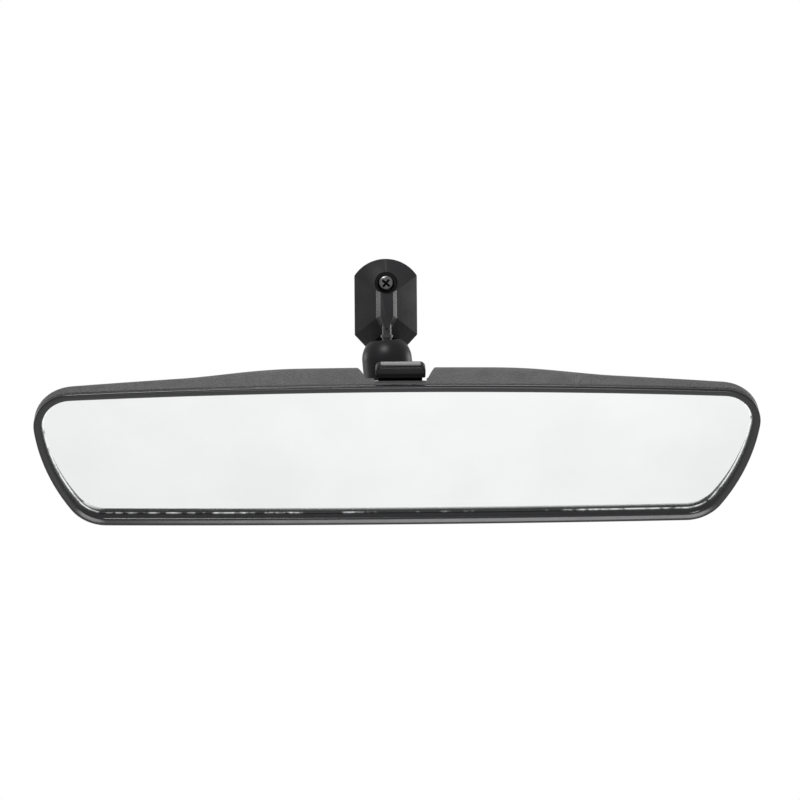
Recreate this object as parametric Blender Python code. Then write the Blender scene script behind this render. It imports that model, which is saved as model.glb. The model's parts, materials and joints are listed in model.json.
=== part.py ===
"""Interior rearview mirror: glass-bonded foot, double-ball arm and day/night head.

The origin is the centre of the bonding face. +Y points out through the windscreen,
the mirror hangs towards -Z and its reflecting face looks towards -Y.
Head parts are drawn in face coordinates: x right, y depth behind the face, z up.
"""
from math import acos, asin, atan2, cos, pi, radians, sin, sqrt, tan

import bmesh
import bpy
from mathutils import Matrix, Vector

MM = 0.001
GAP = 0.3 * MM

# Foot and bond
PAD_HALF_WIDTH = 10.0 * MM
PAD_HALF_HEIGHT = 13.5 * MM
PAD_CORNER = 3.5 * MM
LINER_THICKNESS = 0.3 * MM
PAD_THICKNESS = 1.1 * MM
FOOT_BACK = -(LINER_THICKNESS + PAD_THICKNESS + 2 * GAP)
FOOT_HALF_WIDTH = 11.4 * MM
FOOT_SHOULDER = 10.7 * MM
FOOT_CROWN = 6.1 * MM
FOOT_LOW_CORNER = -10.9 * MM
FOOT_BOTTOM = -16.4 * MM
PLATE_HALF_WIDTH = 8.0 * MM
PLATE_HALF_HEIGHT = 11.6 * MM
PLATE_THICKNESS = 1.8 * MM
SCREW_Z = 7.7 * MM
SCREW_RADIUS = 1.5 * MM
COUNTERBORE_RADIUS = 4.2 * MM
COUNTERBORE_FLOOR = -5.6 * MM

# Double-ball arm
UPPER_BALL = Vector((0.0, -13.5 * MM, -20.0 * MM))
LOWER_BALL = Vector((2.6 * MM, -13.5 * MM, -49.9 * MM))
ARM_LENGTH = (UPPER_BALL - LOWER_BALL).length
ARM_LEAN = atan2(LOWER_BALL.x - UPPER_BALL.x, UPPER_BALL.z - LOWER_BALL.z)
ARM_RADIUS = 9.0 * MM
ARM_BORE = 7.1 * MM
ARM_MOUTH_HEIGHT = 6.8 * MM
MOUTH_ANGLE = radians(38)
BALL_RADIUS = 4.4 * MM
NECK_RADIUS = 1.7 * MM
SHELL_WALL = 0.75 * MM
CUP_RADIUS = 6.8 * MM

# Head
HEAD_TILT = radians(31)
BALL_IN_HEAD = Vector((-0.6 * MM, 19.5 * MM, -6.0 * MM))
TOP_RADIUS = 2590 * MM
TOP_HEIGHT = 28.8 * MM
BOTTOM_RADIUS = 7450 * MM
BOTTOM_HEIGHT = -29.1 * MM
SIDE_X = 125.8 * MM
SIDE_ANGLE = 0.245
SIDE_RADIUS = 72.0 * MM
TOP_CORNER = 13.8 * MM
BOTTOM_CORNER = 14.9 * MM
RIM_WIDTH = 2.9 * MM
RIM_DEPTH = 1.5 * MM
HOUSING_FRONT = RIM_DEPTH + GAP
HOUSING_WALL = 1.1 * MM
HOUSING_DEPTH = 25.0 * MM
HOUSING_SKIRT = 9.4 * MM
CROWN_POWER = 2.4
LIP_THICKNESS = 1.6 * MM
GLASS_FRONT = 3.0 * MM
GLASS_LEAN = 0.037
GLASS_THICKNESS = 2.3 * MM
GLASS_WEDGE = 0.010
GLASS_INSET = 2.3 * MM
SILVER_THICKNESS = 0.15 * MM
FOAM_THICKNESS = 0.8 * MM

# Bracket, day/night pivot and toggle, about the slot's centre line
SLOT_X = BALL_IN_HEAD.x
PIVOT = Vector((SLOT_X, 15.5 * MM, -17.0 * MM))
PIVOT_PIN_RADIUS = 1.2 * MM
CHEEK_INNER = 10.6 * MM
CHEEK_OUTER = 11.8 * MM
TOGGLE_AXLE = Vector((SLOT_X + 1.2 * MM, 8.4 * MM, 23.8 * MM))
TOGGLE_HALF_WIDTH = 8.7 * MM
TOGGLE_FRONT = 4.4 * MM
TOGGLE_THICKNESS = 4.2 * MM
TOGGLE_TOP = 34.2 * MM
TOGGLE_PIN_RADIUS = 0.9 * MM

SEGMENTS = 24


def material(name, colour, roughness, metallic=0.0):
    made = bpy.data.materials.new(name)
    made.use_nodes = True
    shader = made.node_tree.nodes["Principled BSDF"]
    shader.inputs["Base Color"].default_value = (*colour, 1)
    shader.inputs["Roughness"].default_value = roughness
    shader.inputs["Metallic"].default_value = metallic
    made.diffuse_color = (*colour, 1)
    return made


def add_mesh(name, points, faces, look=None, parent=None):
    """An object from points and faces, with its faces turned outwards."""
    mesh = bpy.data.meshes.new(name)
    mesh.from_pydata([tuple(point) for point in points], [], faces)
    sheet = bmesh.new()
    sheet.from_mesh(mesh)
    bmesh.ops.recalc_face_normals(sheet, faces=sheet.faces)
    sheet.to_mesh(mesh)
    sheet.free()
    made = bpy.data.objects.new(name, mesh)
    bpy.context.collection.objects.link(made)
    if look:
        mesh.materials.append(look)
    if parent:
        made.parent = parent
    return made


def smooth(made, angle=35):
    made.data.shade_smooth()
    made.data.set_sharp_from_angle(angle=radians(angle))
    return made


def turned(name, profile, look=None, parent=None, segments=SEGMENTS):
    """Solid of revolution about local Z from a closed (radius, height) profile."""
    points, rings, faces = [], [], []
    for radius, height in profile:
        start = len(points)
        if radius < 1e-9:
            points.append((0, 0, height))
            rings.append([start])
            continue
        for turn in range(segments):
            angle = 2 * pi * turn / segments
            points.append((radius * cos(angle), radius * sin(angle), height))
        rings.append(list(range(start, start + segments)))
    for first, second in zip(rings, rings[1:] + rings[:1]):
        for turn in range(segments):
            after = (turn + 1) % segments
            if len(first) == 1 and len(second) == 1:
                continue
            if len(first) == 1:
                faces.append((first[0], second[turn], second[after]))
            elif len(second) == 1:
                faces.append((first[turn], first[after], second[0]))
            else:
                faces.append((first[turn], first[after], second[after], second[turn]))
    return smooth(add_mesh(name, points, faces, look, parent))


def lofted(name, rings, look=None, parent=None, closed=False, ladder=False):
    """Skin over rings of equal point counts, capped unless it closes on itself.

    A ladder cap crosses a curved last ring from edge to edge.
    """
    count = len(rings[0])
    points = [point for ring in rings for point in ring]
    faces = []
    pairs = len(rings) if closed else len(rings) - 1
    for level in range(pairs):
        near = level * count
        far = (level + 1) % len(rings) * count
        for index in range(count):
            after = (index + 1) % count
            faces.append((near + index, near + after, far + after, far + index))
    if not closed:
        last = (len(rings) - 1) * count
        faces.append(tuple(range(count)))
        faces.extend(cap(last, count) if ladder else [tuple(range(last, last + count))])
    return add_mesh(name, points, faces, look, parent)


def cap(start, count):
    """Faces that close a ring whose two halves mirror each other, rung by rung."""
    half = count // 2
    faces = [(start, start + 1, start + count - 1)]
    for index in range(1, half - 1):
        faces.append(
            (start + index, start + index + 1, start + count - index - 1, start + count - index)
        )
    faces.append((start + half - 1, start + half, start + half + 1))
    return faces


def prism(name, outline, axis, low, high, look=None, parent=None):
    """A flat outline extruded from low to high along X, Y or Z."""
    place = {
        "X": lambda u, v, w: (w, u, v),
        "Y": lambda u, v, w: (u, w, v),
        "Z": lambda u, v, w: (u, v, w),
    }[axis]
    rings = [[place(u, v, w) for u, v in outline] for w in (low, high)]
    return lofted(name, rings, look, parent)


def box(name, low, high, look=None, parent=None):
    outline = [(low[0], low[1]), (high[0], low[1]), (high[0], high[1]), (low[0], high[1])]
    return prism(name, outline, "Z", low[2], high[2], look, parent)


def rod(name, axis, radius, centre, low, high, look=None, parent=None, segments=20):
    """A round bar along X, Y or Z; centre gives its two other coordinates."""
    outline = arc(centre, radius, 0, 2 * pi, segments)[:-1]
    return smooth(prism(name, outline, axis, low, high, look, parent))


def arc(centre, radius, start, end, steps):
    return [
        (
            centre[0] + radius * cos(start + (end - start) * step / steps),
            centre[1] + radius * sin(start + (end - start) * step / steps),
        )
        for step in range(steps + 1)
    ]


def rounded_box(half_width, half_height, corner, steps=5):
    outline = []
    for quarter, (side, up) in enumerate(((1, 1), (-1, 1), (-1, -1), (1, -1))):
        centre = (side * (half_width - corner), up * (half_height - corner))
        outline += arc(centre, corner, quarter * pi / 2, (quarter + 1) * pi / 2, steps)
    return outline


def combine(target, other, operation):
    other.hide_render = True
    other.display_type = "WIRE"
    change = target.modifiers.new(other.name, "BOOLEAN")
    change.operation = operation
    change.solver = "EXACT"
    change.object = other
    return target


def cut(target, *cutters):
    for cutter in cutters:
        combine(target, cutter, "DIFFERENCE")
    return target


def join(target, *others):
    for other in others:
        combine(target, other, "UNION")
    return target


def soften(made, width, segments=2, angle=30):
    bevel = made.modifiers.new("Soft edges", "BEVEL")
    bevel.width = width
    bevel.segments = segments
    bevel.limit_method = "ANGLE"
    bevel.angle_limit = radians(angle)
    return made


def pivot_empty(name, location, parent=None, rotation=(0, 0, 0)):
    made = bpy.data.objects.new(name, None)
    bpy.context.collection.objects.link(made)
    made.location = location
    made.rotation_euler = rotation
    made.parent = parent
    return made


def rest_on(made, empty, origin):
    """Hang parts drawn in face coordinates on an empty that stands at origin."""
    made.data.transform(Matrix.Translation(-origin))
    made.parent = empty
    return made


def band(inner, outer, start, end, steps=6):
    """Closed profile of a spherical shell between two angles from the +Z axis."""
    profile = []
    for radius, first, last in ((outer, start, end), (inner, end, start)):
        for step in range(steps + 1):
            angle = first + (last - first) * step / steps
            profile.append((radius * sin(angle), radius * cos(angle)))
    return profile


# --- face outline -------------------------------------------------------------


def circles_meet(first, first_radius, second, second_radius, up):
    """Crossing of two circles in (x, z) that lies furthest right and up or down."""
    along = second - first
    span = along.length
    reach = (first_radius**2 - second_radius**2 + span**2) / (2 * span)
    rise = sqrt(max(first_radius**2 - reach**2, 0))
    middle = first + along * reach / span
    side = Vector((along.y, -along.x)) * rise / span
    return max((middle + side, middle - side), key=lambda spot: spot.x + up * spot.y)


def outline(inset, side_steps=2, corner_steps=5, edge_steps=9):
    """Face outline moved inwards, from the right-hand side anticlockwise."""
    side_way = Vector((cos(SIDE_ANGLE), -sin(SIDE_ANGLE)))
    side_centre = Vector((SIDE_X, 0)) - side_way * SIDE_RADIUS
    halves = []
    for up, radius, height, corner in (
        (1, TOP_RADIUS, TOP_HEIGHT, TOP_CORNER),
        (-1, BOTTOM_RADIUS, BOTTOM_HEIGHT, BOTTOM_CORNER),
    ):
        edge_centre = Vector((0, height - up * radius))
        corner_centre = circles_meet(
            edge_centre, radius - corner, side_centre, SIDE_RADIUS - corner, up
        )
        to_corner = corner_centre - side_centre
        side_end = atan2(to_corner.y, to_corner.x)
        to_edge = corner_centre - edge_centre
        edge_start = atan2(to_edge.y, to_edge.x)
        half = arc(side_centre, SIDE_RADIUS - inset, -SIDE_ANGLE, side_end, side_steps)
        half += arc(corner_centre, corner - inset, side_end, edge_start, corner_steps)[1:]
        half += arc(edge_centre, radius - inset, edge_start, up * pi / 2, edge_steps)[1:]
        halves.append(half)
    top, bottom = halves
    ring = top + [(-x, z) for x, z in reversed(top[:-1])]
    ring += [(-x, z) for x, z in bottom[1:]]
    ring += [(x, z) for x, z in reversed(bottom[1:-1])]
    return ring


def depth_share(x):
    """Housing depth along the head, as a share of its depth behind the arm."""
    ends = 0.71 - 4.5 * (abs(x) - 0.070)
    blend = min(max((0.076 - abs(x)) / 0.042, 0), 1)
    blend = blend * blend * (3 - 2 * blend)
    return ends + (1 - ends) * blend


def housing_solid(name, wall, look=None):
    """The housing's outer form, or its hollow when wall is positive."""
    front = HOUSING_FRONT if wall == 0 else -2 * MM
    ring = outline(wall)
    rings = [[(x, front, z) for x, z in ring]]
    rings.append([(x, HOUSING_SKIRT * depth_share(x), z) for x, z in ring])
    steps = 7
    for step in range(1, steps + 1):
        share = sin(pi / 2 * step / steps * 0.97)
        shrink = (1 - share**CROWN_POWER) ** (1 / CROWN_POWER)
        level = []
        for x, z in ring:
            spine = min(max(x, -0.098), 0.098)
            skirt = HOUSING_SKIRT * depth_share(x)
            moved = spine + (x - spine) * shrink
            back = HOUSING_DEPTH * depth_share(moved) - wall
            level.append((moved, skirt + (back - skirt) * share, z * shrink))
        rings.append(level)
    return smooth(lofted(name, rings, look, ladder=True))


# --- foot and bond ------------------------------------------------------------


def foot_ring(y, half_width, shoulder, crown, low_corner, bottom_half, bottom):
    """Outline of the foot at one depth: crown over the shoulders, cut lower corners."""
    points = []
    steps = 8
    for step in range(steps + 1):
        x = half_width * (1 - 2 * step / steps)
        if crown > 0:
            radius = (half_width**2 + crown**2) / (2 * crown)
            rise = sqrt(radius**2 - x**2) - (radius - crown)
        else:
            rise = 0
        points.append((x, y, shoulder + rise))
    points += [(-half_width, y, low_corner), (-bottom_half, y, bottom)]
    points += [(bottom_half, y, bottom), (half_width, y, low_corner)]
    return points


def mount_foot(look):
    rings = [
        foot_ring(y, FOOT_HALF_WIDTH, FOOT_SHOULDER, FOOT_CROWN, FOOT_LOW_CORNER, 6.3 * MM, FOOT_BOTTOM)
        for y in (FOOT_BACK, -4.2 * MM)
    ]
    rings.append(foot_ring(-12.0 * MM, 3.7 * MM, 5.0 * MM, 0, -5.1 * MM, 0.9 * MM, -10.1 * MM))
    rings.append(foot_ring(-16.5 * MM, 2.3 * MM, 4.2 * MM, 0, -4.4 * MM, 0.5 * MM, -9.0 * MM))
    foot = lofted("mount_foot", rings, look)
    soften(foot, 0.3 * MM, 2, 18)
    pocket = prism(
        "foot_pocket",
        rounded_box(PLATE_HALF_WIDTH + GAP, PLATE_HALF_HEIGHT + GAP, 2.3 * MM),
        "Y",
        FOOT_BACK - PLATE_THICKNESS - GAP,
        0,
    )
    counterbore = rod(
        "foot_counterbore", "Y", COUNTERBORE_RADIUS, (0, SCREW_Z), -20 * MM, COUNTERBORE_FLOOR,
        segments=28,
    )
    screw_way = rod("foot_screw_way", "Y", SCREW_RADIUS + GAP, (0, SCREW_Z), -20 * MM, 0)
    stud_way = rod(
        "foot_stud_way", "Z", NECK_RADIUS + GAP, (UPPER_BALL.x, UPPER_BALL.y), -20 * MM, -3.4 * MM
    )
    relief = turned("foot_relief", band(0, ARM_RADIUS + 0.6 * MM, 0, pi, 12)[:13])
    relief.location = UPPER_BALL
    cut(foot, pocket, counterbore, screw_way, stud_way, relief)
    return foot


def bond(looks):
    sheet = rounded_box(PAD_HALF_WIDTH, PAD_HALF_HEIGHT, PAD_CORNER)
    prism("release_liner", sheet, "Y", -LINER_THICKNESS, 0, looks["red_liner"])
    pad_front = -LINER_THICKNESS - GAP
    prism("adhesive_pad", sheet, "Y", pad_front - PAD_THICKNESS, pad_front, looks["pad"])
    plate = prism(
        "mount_plate",
        rounded_box(PLATE_HALF_WIDTH, PLATE_HALF_HEIGHT, 2.0 * MM),
        "Y",
        FOOT_BACK - PLATE_THICKNESS,
        FOOT_BACK,
        looks["zinc"],
    )
    cut(plate, rod("plate_hole", "Y", SCREW_RADIUS + GAP, (0, SCREW_Z), -20 * MM, 10 * MM))


def foot_screw(look):
    """Pan-head cross screw: head in the counterbore, shank through to the plate."""
    head_base = -COUNTERBORE_FLOOR + GAP
    head_radius = 3.0 * MM
    profile = [
        (0, -FOOT_BACK + 0.3 * MM),
        (SCREW_RADIUS, -FOOT_BACK + 0.3 * MM),
        (SCREW_RADIUS, head_base),
        (head_radius, head_base),
        (head_radius, head_base + 1.0 * MM),
        (head_radius * 0.9, head_base + 1.6 * MM),
        (head_radius * 0.6, head_base + 2.1 * MM),
        (0, head_base + 2.3 * MM),
    ]
    screw = turned("foot_screw", profile, look, segments=24)
    screw.location = (0, 0, SCREW_Z)
    screw.rotation_euler = (pi / 2, 0, 0)
    top = head_base + 1.2 * MM
    for name, long_way in (("cross_slot_a", 0), ("cross_slot_b", 1)):
        reach = (1.7 * MM, 0.35 * MM) if long_way else (0.35 * MM, 1.7 * MM)
        slot = box(name, (-reach[0], -reach[1], top), (reach[0], reach[1], top + 4 * MM))
        slot.location = screw.location
        slot.rotation_euler = screw.rotation_euler
        cut(screw, slot)


# --- arm ----------------------------------------------------------------------


def stud_profile(neck_end, collar, shank_end, shank_radius):
    """Ball at the origin, neck upwards, one collar and a shank."""
    start = pi - asin(NECK_RADIUS / BALL_RADIUS)
    profile = []
    for step in range(11):
        angle = pi - start * step / 10
        profile.append((BALL_RADIUS * sin(angle), BALL_RADIUS * cos(angle)))
    collar_radius, collar_low, collar_high = collar
    profile += [(NECK_RADIUS, neck_end), (NECK_RADIUS, collar_low)]
    profile += [(collar_radius, collar_low + 0.15 * MM), (collar_radius, collar_high)]
    profile += [(shank_radius, collar_high), (shank_radius, shank_end), (0, shank_end)]
    return profile


def arm_parts(looks, arm):
    stud_top = -4.0 * MM - UPPER_BALL.z
    stud = turned(
        "upper_ball_stud",
        stud_profile(6 * MM, (2.2 * MM, 7.6 * MM, 8.8 * MM), stud_top, NECK_RADIUS),
        looks["steel"],
        segments=24,
    )
    stud.location = UPPER_BALL

    mouth_radius = ARM_MOUTH_HEIGHT * tan(MOUTH_ANGLE)
    rim_angle = acos(ARM_MOUTH_HEIGHT / ARM_RADIUS)
    dome = band(0, ARM_RADIUS, rim_angle, pi / 2, 7)[:8]
    socket = band(0, ARM_BORE, pi / 2, MOUTH_ANGLE, 5)[:6]
    tube = [(mouth_radius, ARM_MOUTH_HEIGHT)] + dome
    tube += [(ARM_RADIUS, -ARM_LENGTH), (ARM_BORE, -ARM_LENGTH)] + socket
    turned("swivel_arm", tube, looks["arm"], arm, 28)

    cap_top = -GAP
    closing = [(mouth_radius, ARM_MOUTH_HEIGHT)] + dome[:-1]
    closing += [(ARM_RADIUS, -cap_top), (ARM_BORE, -cap_top)] + socket[1:]
    turned("arm_end_cap", [(r, -ARM_LENGTH - h) for r, h in closing], looks["arm"], arm, 28)

    inner = BALL_RADIUS + GAP
    middle = inner + SHELL_WALL
    seat = band(inner, middle, radians(54), radians(140))
    ring = band(middle + GAP, middle + GAP + SHELL_WALL, radians(50), radians(140))
    turned("upper_ball_seat", seat, looks["nylon"], arm, 20)
    turned("upper_friction_ring", ring, looks["nylon"], arm, 20)
    for name, profile in (("lower_ball_seat", seat), ("lower_friction_ring", ring)):
        turned(name, [(r, -ARM_LENGTH - h) for r, h in profile], looks["nylon"], arm, 20)

    cup_top = 3.4 * MM
    cup_bottom = 9.4 * MM
    hollow = middle + 2 * GAP + SHELL_WALL
    start = pi - acos(cup_top / hollow)
    dish = band(0, hollow, start, pi, 5)[:6]
    cup = [(CUP_RADIUS, -cup_top), (CUP_RADIUS, -cup_bottom), (0, -cup_bottom)] + dish[::-1]
    turned("upper_spring_cup", cup, looks["steel"], arm, 20)
    turned("lower_spring_cup", [(r, -ARM_LENGTH - h) for r, h in cup], looks["steel"], arm, 20)
    arm_spring(looks["spring"], arm, -cup_bottom - GAP, cup_bottom + GAP - ARM_LENGTH)


def arm_spring(look, arm, top, bottom):
    wire = 0.65 * MM
    coil = 5.0 * MM
    turns = 4
    steps = 12 * turns
    rings = []
    for step in range(steps + 1):
        share = step / steps
        angle = 2 * pi * turns * share
        height = top - wire - (top - bottom - 2 * wire) * share
        outwards = Vector((cos(angle), sin(angle), 0))
        rings.append(
            [
                outwards * (coil + wire * cos(2 * pi * side / 6))
                + Vector((0, 0, height + wire * sin(2 * pi * side / 6)))
                for side in range(6)
            ]
        )
    smooth(lofted("arm_spring", rings, look, arm), 70)


# --- bracket and toggle -------------------------------------------------------


def lower_stud_frame(bracket):
    """Empty at the lower ball whose +Z runs down the stud."""
    return pivot_empty("lower_stud_frame", (0, 0, 0), bracket, (pi - HEAD_TILT, 0, 0))


def bracket_parts(looks, bracket):
    stud_frame = lower_stud_frame(bracket)
    turned(
        "lower_ball_stud",
        stud_profile(6 * MM, (3.0 * MM, 10.4 * MM, 11.4 * MM), 16.4 * MM, NECK_RADIUS),
        looks["steel"],
        stud_frame,
        24,
    )
    nut = prism("stud_nut", arc((0, 0), 3.2 * MM, 0, 2 * pi, 6)[:-1], "Z", 13.2 * MM, 15.6 * MM)
    nut.data.materials.append(looks["steel"])
    nut.parent = stud_frame
    nut_hole = rod("nut_hole", "Z", NECK_RADIUS + GAP, (0, 0), 10 * MM, 18 * MM, parent=stud_frame)
    cut(nut, nut_hole)

    frame = box(
        "pivot_bracket", (-11.2 * MM, -4.4 * MM, 11.7 * MM), (11.2 * MM, 3.0 * MM, 12.9 * MM),
        looks["zinc"], stud_frame,
    )
    plate_hole = rod("bracket_hole", "Z", NECK_RADIUS + GAP, (0, 0), 9 * MM, 18 * MM, parent=stud_frame)
    side = [
        (9.9 * MM, 24.3 * MM), (9.9 * MM, 10 * MM), (10.6 * MM, -14 * MM), (12.4 * MM, -20.6 * MM),
        (18.8 * MM, -20.6 * MM), (19.4 * MM, -16 * MM), (13.2 * MM, 4 * MM), (13.2 * MM, 24.3 * MM),
    ]
    for name, low, high in (
        ("cheek_left", SLOT_X - CHEEK_OUTER, SLOT_X - CHEEK_INNER),
        ("cheek_right", SLOT_X + CHEEK_INNER, SLOT_X + CHEEK_OUTER),
    ):
        join(frame, rest_on(prism(name, side, "X", low, high), bracket, BALL_IN_HEAD))
    bar = box(
        "bracket_bar",
        (SLOT_X - 11.2 * MM, 11.6 * MM, 14 * MM),
        (SLOT_X + 11.2 * MM, 12.8 * MM, 23.8 * MM),
    )
    join(frame, rest_on(bar, bracket, BALL_IN_HEAD))
    pivot_way = rod(
        "bracket_pivot_way", "X", PIVOT_PIN_RADIUS + GAP, (PIVOT.y, PIVOT.z), -20 * MM, 20 * MM
    )
    cut(frame, plate_hole, rest_on(pivot_way, bracket, BALL_IN_HEAD))
    for name, side_sign in (("pivot_pin_left", -1), ("pivot_pin_right", 1)):
        ends = sorted((SLOT_X + side_sign * 10.7 * MM, SLOT_X + side_sign * 14.4 * MM))
        pin = rod(name, "X", PIVOT_PIN_RADIUS, (PIVOT.y, PIVOT.z), *ends, looks["steel"])
        rest_on(pin, bracket, BALL_IN_HEAD)
    spring = box(
        "detent_spring", (SLOT_X - 6 * MM, 10.9 * MM, 14.5 * MM), (SLOT_X + 6 * MM, 11.3 * MM, 22.4 * MM),
        looks["spring"],
    )
    rest_on(spring, bracket, BALL_IN_HEAD)


def toggle_parts(looks, toggle, head):
    left = TOGGLE_AXLE.x - TOGGLE_HALF_WIDTH
    right = TOGGLE_AXLE.x + TOGGLE_HALF_WIDTH
    back = TOGGLE_FRONT + TOGGLE_THICKNESS
    tab = rounded_tab(left, right, 29.5 * MM, TOGGLE_TOP, 2.0 * MM)
    lever = prism("toggle_lever", tab, "Y", TOGGLE_FRONT, back, looks["gloss_black"])
    soften(lever, 0.5 * MM, 2, 40)
    stem = box(
        "toggle_stem", (left + 1 * MM, TOGGLE_AXLE.y - 1.6 * MM, TOGGLE_AXLE.z),
        (right - 1 * MM, TOGGLE_AXLE.y + 0.1 * MM, 30.6 * MM),
    )
    hub = rod(
        "toggle_hub", "X", 2.1 * MM, (TOGGLE_AXLE.y, TOGGLE_AXLE.z), left + 1 * MM, right - 1 * MM
    )
    pin_way = rod(
        "toggle_pin_way", "X", TOGGLE_PIN_RADIUS + GAP, (TOGGLE_AXLE.y, TOGGLE_AXLE.z), -30 * MM, 30 * MM
    )
    for piece in (lever, stem, hub, pin_way):
        rest_on(piece, toggle, TOGGLE_AXLE)
    join(lever, stem, hub)
    cut(lever, pin_way)
    pin = rod(
        "toggle_pin", "X", TOGGLE_PIN_RADIUS, (TOGGLE_AXLE.y, TOGGLE_AXLE.z),
        TOGGLE_AXLE.x - 15.2 * MM, TOGGLE_AXLE.x + 15.2 * MM, looks["steel"],
    )
    rest_on(pin, head, PIVOT)


def rounded_tab(left, right, bottom, top, corner):
    """Upright tab with rounded upper corners, in (x, z)."""
    outline_points = [(left, bottom), (right, bottom)]
    outline_points += arc((right - corner, top - corner), corner, 0, pi / 2, 5)
    outline_points += arc((left + corner, top - corner), corner, pi / 2, pi, 5)
    return outline_points


# --- head ---------------------------------------------------------------------


def rear_housing(look, head):
    shell = housing_solid("rear_housing", 0, look)
    hollow = housing_solid("housing_hollow", HOUSING_WALL)
    slot_plan = [
        (SLOT_X - 10.8 * MM, 5.9 * MM), (SLOT_X + 10.8 * MM, 5.9 * MM),
        (SLOT_X + 13.1 * MM, 13 * MM), (SLOT_X + 15.0 * MM, 20 * MM), (SLOT_X + 15.0 * MM, 40 * MM),
        (SLOT_X - 15.0 * MM, 40 * MM), (SLOT_X - 15.0 * MM, 20 * MM), (SLOT_X - 13.1 * MM, 13 * MM),
    ]
    slot = prism("arm_slot", slot_plan, "Z", -17.8 * MM, 45 * MM)
    toggle_slot = box(
        "toggle_slot",
        (TOGGLE_AXLE.x - TOGGLE_HALF_WIDTH - 0.5 * MM, TOGGLE_FRONT - 0.4 * MM, 20 * MM),
        (TOGGLE_AXLE.x + TOGGLE_HALF_WIDTH + 0.5 * MM, 9 * MM, 40 * MM),
    )
    pivot_lugs, toggle_lugs = [], []
    for side in (-1, 1):
        pivot_x = sorted((SLOT_X + side * 12.1 * MM, SLOT_X + side * 14.8 * MM))
        pivot_lugs.append(
            box(f"pivot_lug_{side}", (pivot_x[0], 12.6 * MM, -21.4 * MM), (pivot_x[1], 21.0 * MM, -14 * MM))
        )
        toggle_x = sorted((TOGGLE_AXLE.x + side * 13.3 * MM, TOGGLE_AXLE.x + side * 15.6 * MM))
        toggle_lugs.append(
            box(f"toggle_lug_{side}", (toggle_x[0], 6.2 * MM, 22 * MM), (toggle_x[1], 10.6 * MM, 28.2 * MM))
        )
    join(cut(shell, hollow), *toggle_lugs)
    join(cut(shell, slot, toggle_slot), *pivot_lugs)
    pivot_way = rod(
        "housing_pivot_way", "X", PIVOT_PIN_RADIUS + GAP, (PIVOT.y, PIVOT.z), -20 * MM, 20 * MM
    )
    pin_way = rod(
        "housing_pin_way", "X", TOGGLE_PIN_RADIUS + GAP, (TOGGLE_AXLE.y, TOGGLE_AXLE.z), -20 * MM, 20 * MM
    )
    cut(shell, pivot_way, pin_way)
    for piece in (shell, hollow, slot, toggle_slot, pivot_way, pin_way, *pivot_lugs, *toggle_lugs):
        rest_on(piece, head, PIVOT)


def front_bezel(look, head):
    """Rounded rim with a lip over the glass and a skirt inside the housing."""
    rim = [
        (0, RIM_DEPTH), (0, 0.7 * MM), (0.35 * MM, 0.15 * MM), (1.1 * MM, 0), (2.0 * MM, 0.1 * MM),
        (2.6 * MM, 0.5 * MM), (RIM_WIDTH, 1.1 * MM),
    ]
    rings = [[(x, depth, z) for x, z in outline(inset)] for inset, depth in rim]
    for inset, beyond in (
        (RIM_WIDTH, 0), (2.0 * MM, 0), (2.0 * MM, LIP_THICKNESS), (1.4 * MM, LIP_THICKNESS)
    ):
        rings.append([(x, glass_front(z) - GAP + beyond, z) for x, z in outline(inset)])
    rings.append([(x, RIM_DEPTH, z) for x, z in outline(1.4 * MM)])
    bezel = smooth(lofted("front_bezel", rings, look, closed=True))
    rest_on(bezel, head, PIVOT)


def glass_front(z):
    """The wedge glass leans back in its rim: deeper towards its lower edge."""
    return GLASS_FRONT - GLASS_LEAN * z


def glass_back(z):
    return glass_front(z) + GLASS_THICKNESS - GLASS_WEDGE * z


def sheet_behind(name, inset, offset, thickness, look):
    ring = outline(inset)
    rings = [[(x, glass_back(z) + back, z) for x, z in ring] for back in (offset, offset + thickness)]
    return lofted(name, rings, look)


def glass_parts(looks, head):
    ring = outline(GLASS_INSET)
    faces = [[(x, depth(z), z) for x, z in ring] for depth in (glass_front, glass_back)]
    glass = lofted("mirror_glass", faces, looks["glass"])
    silver = sheet_behind("mirror_silvering", 3.6 * MM, GAP, SILVER_THICKNESS, looks["silver"])
    foam_start = SILVER_THICKNESS + 2 * GAP
    foam = sheet_behind("backing_pad", 5.6 * MM, foam_start, FOAM_THICKNESS, looks["foam"])
    window = box("foam_window", (-16 * MM, -5 * MM, -21.5 * MM), (17 * MM, 20 * MM, 40 * MM))
    cut(foam, window)
    for piece in (glass, silver, foam, window):
        rest_on(piece, head, PIVOT)


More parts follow.
